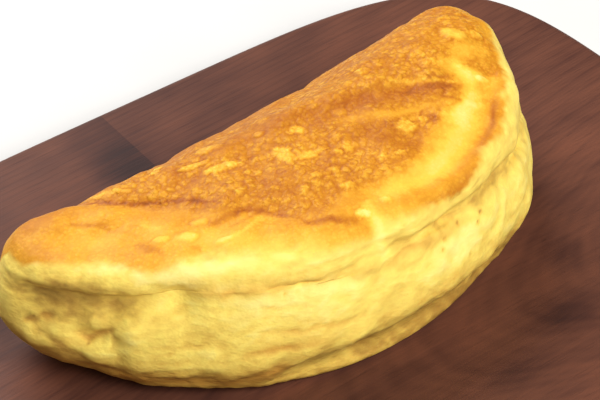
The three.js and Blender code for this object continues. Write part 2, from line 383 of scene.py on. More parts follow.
def smooth_form():
    """Rows of points from the underside to the spine, each a Catmull-Rom step along the sections,
    which run on into the opposite side; the turn and the stage of every point; and the faces.
    On the spine the two long sides share their points."""
    turn = even_turns()
    own = sections_at(turn)
    opposite = own[:, (-np.arange(STEPS_ROUND)) % STEPS_ROUND]
    chain = np.concatenate([opposite[1:2], own, opposite[-2:-1]])
    counts = [BASE_RINGS, *(rings for *_, rings in SECTION), CROWN_RINGS, SPINE_RINGS]
    rows, stages = [], []
    for k, count in enumerate(counts):
        last = k == len(counts) - 1
        steps = np.arange(count + last)
        for t in steps / count:
            rows.append(catmull(*chain[k:k + 4], t))
            stages.append(k + t)
    points = np.array(rows)
    points[..., 2] = np.maximum(points[..., 2], 0)
    index = np.arange(len(rows) * STEPS_ROUND).reshape(len(rows), STEPS_ROUND)
    used, faces = np.unique(closed_on_lines(index), return_inverse=True)
    points = points.reshape(-1, 3)[used]
    turns = np.tile(turn, len(rows))[used]
    stages = np.repeat(stages, STEPS_ROUND)[used]
    return points, turns, stages, faces.reshape(-1, 4)


# ---- Omelette: folds, tears, groove and lumps ----
def fold_rise(points):
    """Each fold lifts the skin by its rise times a bell of the distance to its route, less towards
    its ends."""
    skin = fade(points[:, 2], *SKIN_HEIGHTS)
    total = np.zeros(len(points))
    for _, route, width, rise in SKIN_FOLDS:
        distance, place = near_route(points, route)
        total += rise * skin * bell(distance, width) * swell(place, FOLD_ENDS)
    return total


def tear_rise(points):
    """Each opening sinks the crumb by its depth times a bell of the distance in its own sizes."""
    total = np.zeros(len(points))
    for _, centre, size, depth in TEARS:
        total -= depth * bell(np.linalg.norm((points - centre) / size, axis=-1), 1)
    return total


def furrow_rise(points):
    """Each furrow sinks the side by its depth times a bell of the distance to its route, from
    nothing at its ends."""
    total = np.zeros(len(points))
    for _, route, width, depth in FURROWS:
        distance, place = near_route(points, route)
        ends = fade(place, 0, FURROW_ENDS) * fade(1 - place, 0, FURROW_ENDS)
        total -= depth * bell(distance, width) * ends
    return total


def undercut_rise(points, turn):
    """The front is cut back near the board by a bell of the height, faded in and out along X."""
    start, end = UNDERCUT_X
    x = points[:, 0]
    reach = fade(x, start, start + UNDERCUT_FADE) * (1 - fade(x, end - UNDERCUT_FADE, end))
    cut = -UNDERCUT_DEPTH * reach * bell(points[:, 2] - UNDERCUT_HEIGHT, UNDERCUT_HALF_HEIGHT)
    return np.where(turn > PI, 0, cut)


def lump_rise(points):
    """Three crossed waves, sin(k along) cos(k across + turn), that fade out at the resting face."""
    x, y, z = points.T
    total = np.zeros(len(points))
    slant_along, slant_across = LUMP_SLANTS
    for wavelength, rise, turn in LUMPS:
        k = 2 * PI / wavelength
        along = x * math.cos(turn) + y * math.sin(turn) + slant_along * z
        across = y * math.cos(turn) - x * math.sin(turn) + slant_across * z
        total += rise * np.sin(k * along) * np.cos(k * across + turn)
    return total * fade(z, *LUMP_HEIGHTS)


# ---- Omelette: where the skin lies and how browned it is ----
# Stage of the section where the upper skin starts, for turns in half circles from the left tip.
SKIN_EDGE = np.array([
    [-0.50, 2.20], [-0.20, 2.30], [-0.12, 4.80], [-0.08, 7.20], [0.00, 7.30], [0.03, 7.80],
    [0.10, 8.05], [0.16, 8.15], [0.21, 8.00], [0.25, 7.90], [0.31, 8.20], [0.39, 8.15], [0.43, 7.90],
    [0.48, 7.60], [0.50, 7.95], [0.55, 7.60], [0.595, 7.27], [0.62, 7.55], [0.65, 7.90],
    [0.78, 8.05], [0.90, 8.05], [0.97, 8.00], [1.02, 7.60], [1.08, 5.20], [1.14, 2.40],
    [1.50, 2.20],
])
# Noise rows: wavelength, seed, octaves, height.
EDGE_RAGGED = ((8, 60, 3, 0.12), (2.4, 61, 2, 0.08))
EDGE_SOFT = 0.15  # stages from the edge to full skin or full crumb
EDGE_SOFTER = ((0.42, 0.12, 0.20), (0.10, 0.14, 0.18))  # middle and reach in half turns, how much
RIM_STAGES, RIM_END, RIM_PALER = 0.6, (0.5, 0.6), 0.14  # the skin is paler along its rim
GOLDEN_TONE, BROWNED_TONE = 0.42, 0.55
# The well browned part of the skin, where its blisters are strongest too.
BROWNED_LOOP = (
    (-84, 3), (-80, -9), (-66, -24), (-58, -35), (-46, -41), (-41, -50), (-34, -56), (-22, -53),
    (-13, -56), (0, -54.5), (7, -52.5), (13, -47.5), (19, -45), (27, -42), (37, -39), (40, -28),
    (46, -34), (52, -38), (58, -26), (62, -12), (60, 8), (20, 14), (-40, 8),
)
LOOP_RAGGED, LOOP_FADE = (7, 70, 3, 1.2), (-1.6, 2.2)  # noise row; depths inside the loop
# Darker and paler strokes on the skin: name, route in plan, half width, change of tone.
# A few strokes are painted shade or a painted highlight, as marked below.
STROKES = (
    ("long streak", ((-14, -20.5), (-4, -21.5), (5, -23.5), (13, -27), (21, -30.5), (30, -34)), 4.3,
     0.17),
    ("long streak's tip", ((18, -27.5), (24, -29.5), (30, -33), (37, -37.5)), 2.2, 0.14),
    # Painted shade on the back slope along the back edge.
    ("painted shade along the back edge", ((-100, 3), (-70, 2), (-40, 1), (-10, 3)), 6.0, 0.08),
    # Painted highlight along the ridge above the streak.
    ("painted highlight on the ridge above the streak", ((19, -23.2), (25, -27), (30, -30.8), (35, -34.2)), 0.8, -0.30),
    ("pale under the streak", ((-4, -27), (3, -31), (11, -35.5), (20, -38), (28, -39)), 2.2, -0.14),
    ("yellow patch", ((-12, -59), (0, -59), (10, -57.5), (18, -54), (26, -50), (32, -45)), 4.4,
     -0.30),
    ("yellow patch's corner", ((24, -46), (30, -43), (36, -41)), 3.4, -0.22),
    ("yellow patch right", ((36, -40), (39, -35), (39, -30), (37, -26)), 4.0, -0.30),
    ("beyond the patch", ((41, -27), (46, -24), (52, -24)), 3.4, -0.16),
    ("beside the patch", ((43, -33), (45, -38)), 2.6, -0.10),
    ("golden right end", ((44, -10), (50, -17), (53, -27), (50, -37)), 7.0, -0.07),
    ("orange by the edge", ((47, -44), (51, -38), (55, -30), (58, -22)), 2.2, 0.08),
    ("lip", ((41, -46), (38, -49.5), (33, -54), (27, -57.5), (20, -61), (10, -63.5), (0, -64.5),
     (-9, -65)), 2.8, 0.11),
    ("lip's brown part", ((41, -45.5), (38.5, -49), (34, -53), (28, -56.5), (22, -60)), 1.5, 0.15),
    ("lip's inner line", ((40.5, -45.5), (37.5, -49.5), (33, -54)), 0.8, 0.12),
    ("lip's outer line", ((18, -65), (10, -67.5), (2, -68.5), (-6, -68.5)), 0.8, 0.14),
    ("orange behind the lip", ((-12, -64.5), (-17, -63.5), (-22, -65)), 2.2, 0.05),
    ("notch line", ((-84, 1), (-81.5, -4), (-78.5, -8.7), (-73.5, -13.7), (-69, -17.3), (-63, -21.5),
     (-58, -27), (-55.5, -31)), 0.8, 0.26),
    ("ridge beside the notch", ((-81, 1), (-79, -2.5), (-75.5, -6), (-71, -9.5)), 1.1, -0.24),
    ("orange beside the notch", ((-74, -19), (-69, -24), (-64, -30), (-58, -35)), 3.6, 0.05),
    ("left line", ((-94, -10), (-90, -12.3), (-86, -16), (-84, -21)), 0.9, 0.16),
    # Painted shade on the back of the left tip.
    ("painted shade on the left tip's back", ((-106, -3), (-96, -3), (-86, -3)), 4.5, 0.16),
    ("left tip's front", ((-108, -10), (-104, -18)), 3.0, 0.06),
    ("short line", ((-61, -37.5), (-54.5, -38.4), (-49, -39.3), (-45.5, -43), (-42.5, -47.5),
     (-40.4, -51.5), (-39, -56)), 1.0, 0.26),
    ("short line's branch", ((-40, -55), (-37, -57), (-32.7, -59.4), (-30, -62), (-28, -63)), 1.4,
     0.30),
    ("short line's upper branch", ((-56, -42.5), (-50, -42.5), (-46, -42)), 0.8, 0.14),
    ("orange below the line", ((-36, -53), (-28, -56), (-20, -56)), 2.4, 0.07),
    ("smear", ((-82, -31.5), (-81.5, -35), (-79.5, -38.5)), 1.5, 0.20),
    ("small smear", ((-71.5, -41), (-70, -44)), 1.2, 0.12),
    ("orange core", ((-3, -35), (1, -40), (3, -46)), 4.6, 0.10),
    ("smooth orange", ((-4, -51.5), (4, -51), (10, -48)), 1.8, 0.06),
    ("brown top", ((-40, -13), (-24, -15), (-10, -16)), 5.0, 0.10),
    ("yellow flank", ((-76, -30), (-70, -38), (-62, -46), (-52, -55)), 4.0, -0.12),
    ("left gold", ((-100, -14), (-92, -20), (-84, -26)), 4.0, -0.04),
    ("radial wrinkles", ((-76, -23), (-74.5, -29)), 1.0, -0.10),
    ("wavy line", ((-62, -46.5), (-58.5, -47.3), (-51, -45.7), (-47, -44)), 0.9, -0.14),
    ("front smear", ((-21, -60), (-22, -66), (-23, -72)), 2.0, -0.28),
    ("dark squiggle", ((18, -38), (16, -40), (18, -42), (21, -43), (19, -44.5)), 0.7, 0.20),
    ("dark squiggle right", ((27, -37), (29, -39), (31, -41), (28, -41.5)), 0.7, 0.22),
    ("dark squiggle left", ((13, -37.5), (16, -38), (21, -38.5)), 0.6, 0.16),
)
# How the strokes wander in width, noise rows, and in place: reach, wavelength and seeds; and the
# share of a stroke that is left at its ends.
STROKE_WANDER = ((4, 80, 1, 0.35), (1.6, 82, 1, 0.25))
STROKE_PUSH, STROKE_ENDS = (0.7, 3, (83, 84, 85)), 0.6
# Broad strokes calm the blistering, the pale ones more than the others.
CALM_WIDTH, PALE_CHANGE, CALM_PALE, CALM_OTHER = 1.4, -0.12, 0.75, 0.4
# Pale blisters: centre in plan, half length along their slant, half width, change of tone.
BLISTERS = (
    (-27.3, -28.5, 2.4, 4.0, -0.24), (-21.5, -33, 4.0, 1.5, -0.22), (-17.3, -22.3, 2.0, 2.4, -0.20),
    (-44, -20.5, 6.2, 1.7, -0.24), (-51, -14, 4.6, 1.2, -0.20), (-43, -10.5, 4.0, 2.4, -0.16),
    (-61, -8, 1.7, 1.1, -0.24), (-58.5, -6.3, 1.5, 1.0, -0.20), (-27.7, -15.8, 1.6, 1.4, -0.12),
    (-10.2, -32.3, 1.5, 1.2, -0.18), (-13.8, -37.7, 1.3, 1.3, -0.18), (-10.4, -37.6, 1.6, 1.9, -0.18),
    (-20, -43, 1.9, 1.3, -0.14), (-31.5, -43.8, 1.4, 1.3, -0.16), (-25.4, -42, 1.9, 1.2, -0.15),
    (-20, -50.4, 2.3, 1.4, -0.20), (-5, -48, 1.5, 1.2, -0.16), (0.8, -49.2, 1.9, 1.3, -0.18),
    (-38.5, -38.5, 1.3, 1.2, -0.12), (-47, -33, 1.6, 1.3, -0.12), (-23.8, -62, 1.9, 1.9, -0.26),
    (-14.6, -61.5, 1.5, 1.6, -0.16), (14.6, -12.7, 2.4, 2.0, -0.12), (49, -15.6, 3.3, 4.4, -0.20),
    (9.5, -40.8, 3.0, 2.4, -0.22), (16.2, -41, 1.8, 1.5, -0.16), (27.7, -34.6, 1.6, 1.0, -0.10),
    (22, -43, 2.0, 1.4, -0.12), (-76, -33.6, 2.2, 1.6, -0.12), (-69.7, -37.6, 2.8, 2.2, -0.14),
    (-63, -34.5, 2.2, 1.5, -0.12), (-62.5, -46.5, 2.6, 1.2, -0.10), (-2.3, -23.8, 2.2, 1.8, -0.12),
    (44, -36.5, 2.0, 1.6, -0.12), (33, -22, 2.4, 1.4, -0.10), (56, -19, 1.6, 2.4, -0.10),
)
BLISTER_SLANT = 0.25
# Their ragged edge, a noise row, and its fade; how pale and high they are; the dark line round them.
BLISTER_RAGGED, BLISTER_FADE = (2.6, 81, 2, 0.25), (0.6, 1.25)
BLISTER_PALER, BLISTER_RISE = 1.2, 0.35
BLISTER_LINE_WIDTH, BLISTER_LINE_DARKER, BLISTER_LINE_DEPTH = 0.2, 0.06, 0.1
# How blistered the skin is: on the golden part, in calm strokes, and between two heights.
GOLDEN_BUSY, CALM_LESS, BUSY_HEIGHTS = 0.60, 0.8, (34, 45)
CLOUDS, MOTTLES = (12, 90, 3, 0.05), (5, 91, 2, 0.06)
# Small raised blisters, one to a cell: the cell's size, seed, reach in cells, rise.
BUMP_CELL, BUMP_SEED, BUMP_REACH, BUMP_RISE = np.array([3.0, 2.8, 2.8]), 97, 0.75, 0.34
BUMP_ROUGH = (3.4, 98, 2, 0.16)


def side_stretch(points):
    """Points for noise that runs in long level strands round the side: heights count five times
    as much as distances along it."""
    return points * np.array([1, 1, 5.0])


def skin_masks(points, turns, stages):
    """The share of skin, 0 in the crumb; its tone, 0 pale to 1 brown; how blistered it is; and the
    rise of the blisters. A few strokes in the tone are painted shade or a painted highlight."""
    x, y, z = points.T
    # From -0.5 in the middle of the back over 0, the left tip, and 1, the right tip, to 1.5.
    half_turns = np.where(turns / PI > 1.5, turns / PI - 2, turns / PI)
    edge = np.interp(half_turns, *SKIN_EDGE.T)
    ragged = sum(rough(points, *row) for row in EDGE_RAGGED)
    soft = EDGE_SOFT + sum(more * bell(half_turns - at, reach) for at, reach, more in EDGE_SOFTER)
    skin = fade(stages + ragged, edge - soft, edge + soft)

    loop = inside_loop(points, BROWNED_LOOP) + rough(points, *LOOP_RAGGED)
    browned = fade(loop, *LOOP_FADE)
    tone = mix(GOLDEN_TONE, BROWNED_TONE, browned)
    front = np.clip(np.sin(turns), 0, 1)
    rim = (1 - fade(stages, edge, edge + RIM_STAGES)) * front * (1 - fade(half_turns, *RIM_END))
    tone -= RIM_PALER * rim
    wander = 1 + sum(rough(points, *row) for row in STROKE_WANDER)
    shift = pushed(points, *STROKE_PUSH)
    calm = np.zeros(len(points))
    for _, route, width, change in STROKES:
        distance, place = near_route(shift, route)
        stroke = bell(distance, width * wander) * swell(place, STROKE_ENDS)
        tone += change * stroke
        if width > CALM_WIDTH:
            calm = np.maximum(calm, stroke * (CALM_PALE if change < PALE_CHANGE else CALM_OTHER))
    rise = np.zeros(len(points))
    ragged = rough(points, *BLISTER_RAGGED)
    for bx, by, length, width, change in BLISTERS:
        reach = np.hypot((x - bx) / length, (y - by + BLISTER_SLANT * (x - bx)) / width) + ragged
        spot = 1 - fade(reach, *BLISTER_FADE)
        line = bell(reach - BLISTER_FADE[1], BLISTER_LINE_WIDTH)
        tone += BLISTER_PALER * change * spot + BLISTER_LINE_DARKER * line
        rise += BLISTER_RISE * spot - BLISTER_LINE_DEPTH * line
    busy = mix(GOLDEN_BUSY, 1, browned) * (1 - CALM_LESS * calm) * fade(z, *BUSY_HEIGHTS)
    tone += rough(points, *CLOUDS) + busy * rough(points, *MOTTLES)
    distance, own = scattered(points / BUMP_CELL, BUMP_SEED)
    dome = np.clip(1 - distance / BUMP_REACH, 0, 1)
    rise += busy * (BUMP_RISE * dome * own + rough(points, *BUMP_ROUGH))
    return skin, np.clip(tone, 0, 1), busy, rise * skin


# ---- Omelette: the torn crumb of the front ----
# Marks: name, route, half width, change of lightness, change of warmth, rise.
# Some marks are painted shade or painted highlights, as marked below.
CRUMB_MARKS = (
    # Painted highlight along the crumb's upper rim.
    ("painted highlight along the rim", ((-112, -13, 43), (-105, -23, 45), (-96, -32, 46), (-87, -42, 47), (-76, -49, 47),
     (-67, -55, 48), (-56, -60, 48), (-40, -67, 47), (-31, -70, 46)), 2.6, 0.22, 0.0, 0.4),
    # Painted shade in the hollow under the left rim.
    ("painted shade in the left hollow", ((-113, -13, 33), (-109, -22, 35), (-101, -33, 37), (-93, -41, 37.5)), 6.5,
     -0.50, 0.0, 0.0),
    ("left rim's edge", ((-113, -12, 37), (-108, -22, 40), (-99, -34, 41.5), (-90, -43, 42),
     (-80, -51, 42)), 2.0, 0.0, 0.0, 1.0),
    ("soft crease", ((-80, -51, 41.5), (-66, -59, 41), (-58, -63, 40), (-50, -67, 40),
     (-41, -69, 39), (-34, -70, 38), (-23, -70, 38), (-12, -70, 37.5), (0, -70, 36)), 2.4, 0.0, 0.1,
     1.9),
    ("middle hollow", ((-84, -48, 41), (-76, -53, 42), (-69, -58, 41), (-61, -62, 42),
     (-50, -67, 41), (-38, -70, 40), (-29, -71, 37)), 2.8, -0.04, 0.42, 0.4),
    ("orange spot", ((-71, -57, 41), (-68, -58, 41)), 1.4, -0.05, 0.45, 0.0),
    ("pale band", ((-80, -52, 37), (-69, -58, 37), (-60, -63, 37), (-50, -67, 37), (-43, -70, 37),
     (-37, -71, 36), (-32, -72, 34)), 2.6, 0.24, -0.1, 0.8),
    ("bright middle", ((-64, -63, 35), (-56, -66, 34), (-46, -71, 33), (-38, -74, 31)), 6.0, 0.14,
     -0.05, 0.0),
    ("pale lump left", ((-103, -34, 31), (-101, -36, 31)), 2.6, 0.22, 0.0, 0.8),
    ("pale lump right", ((-97, -44, 28), (-93, -48, 29)), 3.0, 0.16, 0.0, 0.6),
    # Painted shade: the slit, crack, wrinkle, pit and its tail are darker inside, and warmer.
    ("slit", ((-105, -32, 25), (-103, -35, 25.2), (-101, -37, 27), (-99, -40, 29)), 1.1, -0.45, 0.45,
     -0.9),
    ("crack", ((-99, -40, 29), (-99, -41, 25), (-98.6, -41.4, 21), (-98, -42, 17)), 0.9, -0.30, 0.20,
     -0.6),
    ("wrinkle", ((-99, -38, 35), (-97, -42, 34), (-93, -46, 33)), 0.9, -0.20, 0.1, -0.4),
    ("pit", ((-112, -21, 27.6), (-110, -25, 29)), 1.5, -0.50, 0.60, -0.9),
    ("pit's tail", ((-114, -15, 23), (-113, -19, 26), (-112, -21, 28)), 1.3, -0.40, 0.40, -0.5),
    # Painted shade in the fold of the left flap.
    ("painted shade in the flap's fold", ((-114, -17, 26), (-113, -21, 24), (-111, -28, 22.5), (-107, -33, 19),
     (-103, -36, 15), (-99, -39, 13)), 2.0, -0.34, 0.1, -0.4),
    # Painted shade under the left tip, warmer in hue.
    ("painted shade under the left tip", ((-117, -8, 18), (-114, -18, 16), (-110, -27, 14), (-103, -34, 11),
     (-97, -42, 10), (-89, -51, 9.5)), 5.5, -0.50, 0.30, 0.0),
    ("brown bottom", ((-97, -42, 11), (-89, -51, 10), (-80, -56, 9), (-70, -63, 8), (-62, -67, 9),
     (-57, -70, 10)), 3.4, -0.34, 0.50, -0.3),
    ("brown patch", ((-68, -66, 15), (-63, -67, 12), (-58, -70, 13)), 2.2, -0.22, 0.45, 0.0),
    ("level strand 1", ((-63, -64, 36), (-57, -67, 34)), 0.6, -0.1, 0.4, -0.2),
    ("level strand 2", ((-52, -69, 35), (-47, -71, 32)), 0.6, -0.1, 0.35, -0.2),
    ("level strand 3", ((-54, -69, 31), (-53, -70, 29), (-46, -73, 28)), 0.7, -0.12, 0.3, -0.3),
    ("level strand 4", ((-64, -66, 28), (-59, -68, 27), (-53, -71, 26), (-47, -73, 26),
     (-39, -75, 25), (-32, -75, 25)), 0.9, -0.22, 0.35, -0.5),
    ("level strand 5", ((-69, -65, 20), (-64, -68, 22), (-59, -70, 22), (-53, -73, 21),
     (-47, -75, 21)), 1.2, -0.25, 0.50, -0.5),
    ("level strand 6", ((-89, -52, 25), (-82, -56, 25), (-76, -59, 24)), 1.0, -0.22, 0.1, -0.3),
    ("warm front", ((-62, -69, 24), (-50, -73, 23), (-38, -76, 23)), 4.5, 0.0, 0.22, 0.0),
    ("shade under the lip", ((2, -67, 42), (14, -67, 41), (24, -63, 40), (36, -58, 39),
     (46, -53, 38), (56, -44, 36)), 4.0, -0.14, 0.05, 0.0),
    # Painted shade along the valley under the right lip.
    ("valley", ((-6, -70, 36), (7, -68, 36.5), (19, -65, 36.5), (31, -60, 35.5), (40, -56, 34.5),
     (50, -50, 33.5), (60, -38, 29)), 2.5, -0.30, 0.0, 1.5),
    ("groove's lower side", ((-27, -72, 33), (-22, -72, 34.5), (-18, -71, 36), (-12, -71, 36.5),
     (-5, -71, 35), (3, -71, 34.5), (11, -69, 35)), 1.5, -0.08, 0.45, 0.0),
    ("slanting stripe", ((-6, -66, 47), (-4, -68, 42), (0, -68, 38)), 2.0, -0.20, 0.12, -0.3),
    ("second stripe", ((-20, -69, 44), (-16, -70, 40), (-12, -70, 37)), 1.8, -0.12, 0.2, -0.2),
    ("front smear", ((-21, -65, 49), (-23, -69, 46), (-23, -70, 42), (-23, -70.5, 37)), 2.2, 0.24,
     -0.1, 0.3),
    ("right pale lobe", ((-8, -75, 29), (4, -73, 31), (12, -72, 30), (22, -68, 30)), 6.0, 0.22, -0.1,
     0.4),
    # Painted shade in the wrinkle on the right lobe.
    ("greyish wrinkle", ((15, -71, 30), (17, -71, 26), (15, -72, 23)), 1.6, -0.14, 0.1, -0.4),
    ("golden patch", ((19, -72, 22), (24, -70, 18), (27, -68, 14)), 1.8, -0.12, 0.30, 0.0),
    ("warm band right", ((-14, -77, 21), (-1, -76, 21), (8, -75, 20), (16, -72, 17)), 2.6, -0.06,
     0.24, 0.0),
    # Painted shade along the top of the undercut.
    ("painted shade along the undercut", ((-38, -76, 18), (-28, -77, 19.5), (-14, -77, 19.5), (-3, -76, 18),
     (8, -74, 14), (15, -71, 9)), 1.8, -0.16, 0.1, 0.5),
    ("ridge beside the lobe", ((31, -63, 38), (30, -66, 31), (24, -70, 23)), 1.4, 0.10, 0.0, 0.6),
)
PORES = (
    (-75.5, -54.7, 37.1), (-70.5, -57.7, 37.6), (-68.5, -58.4, 38.2), (-87.2, -49.6, 34.6),
    (0.1, -71.6, 33.9), (-1.4, -73, 31.7), (9.4, -73.8, 24.6), (17, -68.5, 34), (15, -70, 32),
    (7, -69.3, 35), (-51.5, -67, 38), (-55, -65.4, 38), (-104.2, -35, 23.2), (-112.9, -18.9, 26.7),
)
# The pores' half width, depth and colour; their darkening is painted shade in the holes.
PORE_REACH, PORE_DEPTH, PORE_PAINTED_SHADE, PORE_WARMER = 0.6, 0.5, 0.55, 0.35
# How the marks wander, the broad ones less, and how far the whole crumb is pushed about.
MARK_WANDER, WANDER_FALL = (3.5, 150, 1, 0.4), 0.3
MARK_PUSH, MARK_ENDS = (0.9, 4, (151, 152, 153)), 0.5
CRUMB_PUSH = (4, 15, (5, 6, 7))
# Noise of the crumb: wavelength, seed, octaves. Heights count more in the fluff.
TERRACES, STRANDS, SOFT_LUMPS, FLUFF = (30, 100, 3), (11, 110, 2), (9, 120, 2), (3.6, 130, 3)
FLUFF_STRETCH = np.array([1, 1, 1.8])
# Slanting strands below the bulge: lean, size along X, Y and Z, seed.
SLANT_LEAN, SLANT_SIZE, SLANT_SEED = 0.8, np.array([2.6, 9, 12]), 140
# What each feature adds to the crumb's lightness and to its rise.
CRUMB_WEIGHTS = {
    "terraces": (0.12, 0.22), "strands": (0.09, 0.14), "lumps": (0.07, 0.12),
    "fluff": (0.10, 0.08), "slant": (0.12, 0.19),
}
CRUMB_LIGHT, CRUMB_WARMTH, STRAND_WARMTH, FLUFF_COOL = 0.56, 0.10, 0.25, 0.08
LOWER_HEIGHTS = (13, 20)  # the part below the bulge ends between these heights
# Painted shade below the bulge, where the side turns under, with more from the middle to the right.
LOWER_PAINTED_SHADE, LOWER_WARMTH = 0.20, 0.16
LOWER_RIGHT_PAINTED_SHADE, LOWER_RIGHT_X = 0.16, (-50, -20)
# Painted highlight on the left part of the rim, with mottled tone: heights, X, lightness and noise
# row.
LEFT_RIM_HEIGHTS, LEFT_RIM_X = (40, 47), (-80, -60)
LEFT_RIM_HIGHLIGHT, LEFT_RIM_ROUGH = 0.10, (5, 125, 2, 0.30)


def crumb_masks(points):
    """The torn sponge of the front, as a rise, a lightness from 0, deep, to 1, pale, and a warmth
    from 0, lemon, to 1, tan: long level terraces, softer lumps, marks, pores and, below the bulge,
    slanting strands. The lightness also holds painted shade below the bulge, in the pores and along
    some marks, and painted highlights along the rim."""
    x, y, z = points.T
    lower = 1 - fade(z, *LOWER_HEIGHTS)
    level = side_stretch(pushed(points, *CRUMB_PUSH))
    leaning = np.column_stack([x + SLANT_LEAN * z, y, z])
    features = {
        "terraces": rough(level, *TERRACES),
        "strands": rough(level, *STRANDS),
        "lumps": rough(points, *SOFT_LUMPS),
        "fluff": rough(points * FLUFF_STRETCH, *FLUFF),
        "slant": lower * noise(leaning / SLANT_SIZE, SLANT_SEED),
    }
    light = CRUMB_LIGHT + sum(CRUMB_WEIGHTS[name][0] * part for name, part in features.items())
    rise = sum(CRUMB_WEIGHTS[name][1] * part for name, part in features.items())
    # Painted shade below the bulge.
    light -= lower * (LOWER_PAINTED_SHADE + LOWER_RIGHT_PAINTED_SHADE * fade(x, *LOWER_RIGHT_X))
    # Painted highlight, mottled, on the left rim.
    rim = fade(z, *LEFT_RIM_HEIGHTS) * (1 - fade(x, *LEFT_RIM_X))
    light += rim * (LEFT_RIM_HIGHLIGHT + rough(points, *LEFT_RIM_ROUGH))
    warm = CRUMB_WARMTH + STRAND_WARMTH * features["lumps"] * features["strands"]
    warm += LOWER_WARMTH * lower - FLUFF_COOL * features["fluff"]
    wander = rough(points, *MARK_WANDER)
    shift = pushed(points, *MARK_PUSH)
    for _, route, width, lightness, warmth, step in CRUMB_MARKS:
        distance, place = near_route(shift, route)
        ragged_width = width * (1 + wander / (1 + WANDER_FALL * width))
        mark = bell(distance, ragged_width) * swell(place, MARK_ENDS)
        light += lightness * mark
        warm += warmth * mark
        rise += step * mark
    for centre in PORES:
        mark = bell(np.linalg.norm(points - centre, axis=-1), PORE_REACH)
        # Painted shade in each pore.
        light -= PORE_PAINTED_SHADE * mark
        warm += PORE_WARMER * mark
        rise -= PORE_DEPTH * mark
    return rise, np.clip(light, 0, 1), np.clip(warm, 0, 1)


def omelette_surface():
    """The smooth form, moved along its normals by folds, tears, furrows, undercut and lumps, and
    again by the fine relief of skin and crumb; its faces; and the masks for its material."""
    points, turns, stages, faces = smooth_form()
    free = fade(points[:, 2], 0, LUMP_HEIGHTS[0])
    rise = fold_rise(points) + tear_rise(points) + furrow_rise(points)
    rise += undercut_rise(points, turns) + lump_rise(points)
    points += mean_normals(points, faces) * (rise * free)[:, None]
    points[:, 2] = np.maximum(points[:, 2], 0)

    skin, tone, busy, skin_rise = skin_masks(points, turns, stages)
    crumb_rise, light, warm = crumb_masks(points)
    rise = skin_rise + crumb_rise * (1 - skin)
    points += mean_normals(points, faces) * (rise * free)[:, None]
    points[:, 2] = np.maximum(points[:, 2], 0)
    # The light mask holds the crumb's painted shade and highlights besides its own tone.
    masks = {"skin": skin, "tone": tone, "busy": busy, "light": light, "warm": warm}
    return points + OMELETTE_PLACE, faces, masks


# ---- Materials ----
def node(tree, kind, inputs=None, **settings):
    """A shader node with its settings, its inputs linked where a socket is given and set
    otherwise."""
    made = tree.nodes.new(kind)
    for key, value in settings.items():
        setattr(made, key, value)
    for key, value in (inputs or {}).items():
        if isinstance(value, bpy.types.NodeSocket):
            tree.links.new(value, made.inputs[key])
        else:
            made.inputs[key].default_value = value
    return made


def new_material(name):
    material = bpy.data.materials.new(name)
    material.use_nodes = True
    material.node_tree.nodes.clear()
    return material, material.node_tree


def finish_material(tree, surface):
    node(tree, "ShaderNodeOutputMaterial", {"Surface": surface.outputs[0]})


def linear(red, green, blue):
    """A colour given in display numbers from 0 to 255, as the shader's linear colour."""
    def straight(value):
        share = value / 255
        return share / 12.92 if share <= 0.04045 else ((share + 0.055) / 1.055) ** 2.4
    return (straight(red), straight(green), straight(blue), 1.0)


def ramp(tree, factor, stops):
    """A colour ramp through (place, (red, green, blue)) stops."""
    made = node(tree, "ShaderNodeValToRGB", {0: factor})
    line = made.color_ramp
    line.elements.remove(line.elements[1])
    for k, (place, colour) in enumerate(stops):
        stop = line.elements[0] if k == 0 else line.elements.new(place)
        stop.position = place
        stop.color = linear(*colour)
    return made.outputs[0]


def math_node(tree, operation, *values):
    return node(tree, "ShaderNodeMath", dict(enumerate(values)), operation=operation).outputs[0]


def weighed(tree, base, *pairs):
    """A base value plus each pair's value times its weight."""
    for value, weight in pairs:
        base = math_node(tree, "MULTIPLY_ADD", value, weight, base)
    return base


def ranged(tree, value, start, end, low=0.0, high=1.0, kind="LINEAR"):
    """Low up to where the value is at its start, and high from its end on."""
    inputs = {"Value": value, "From Min": start, "From Max": end, "To Min": low, "To Max": high}
    return node(tree, "ShaderNodeMapRange", inputs, interpolation_type=kind).outputs[0]


def vector_node(tree, operation, a, b=(0.0, 0.0, 0.0)):
    return node(tree, "ShaderNodeVectorMath", {0: a, 1: b}, operation=operation).outputs


def mixed(tree, factor, a, b):
    inputs = {0: factor, 6: a, 7: b}
    return node(tree, "ShaderNodeMix", inputs, data_type="RGBA").outputs[2]


UNEVEN_FINER, UNEVEN_FINE_SHARE = 3.7, 0.5


def uneven_group():
    """Two-scale unevenness shared by all finishes: coarse noise plus half as much fine noise on
    the given vector, about 0 and between -1 and 1."""
    tree = bpy.data.node_groups.new("uneven", "ShaderNodeTree")
    tree.interface.new_socket("Vector", in_out="INPUT", socket_type="NodeSocketVector")
    tree.interface.new_socket("Scale", in_out="INPUT", socket_type="NodeSocketFloat")
    tree.interface.new_socket("Value", in_out="OUTPUT", socket_type="NodeSocketFloat")
    given = tree.nodes.new("NodeGroupInput").outputs
    inputs = {"Vector": given["Vector"], "Scale": given["Scale"], "Detail": 2.0}
    coarse = node(tree, "ShaderNodeTexNoise", inputs)
    finer = math_node(tree, "MULTIPLY", given["Scale"], UNEVEN_FINER)
    inputs = {"Vector": given["Vector"], "Scale": finer, "Detail": 1.0}
    fine = node(tree, "ShaderNodeTexNoise", inputs)
    middle = -(1 + UNEVEN_FINE_SHARE) / 2
    half = math_node(tree, "MULTIPLY_ADD", fine.outputs[0], UNEVEN_FINE_SHARE, middle)
    total = math_node(tree, "ADD", coarse.outputs[0], half)
    doubled = math_node(tree, "MULTIPLY", total, 2.0)
    result = tree.nodes.new("NodeGroupOutput")
    tree.links.new(doubled, result.inputs["Value"])
    return tree


UNEVEN = uneven_group()


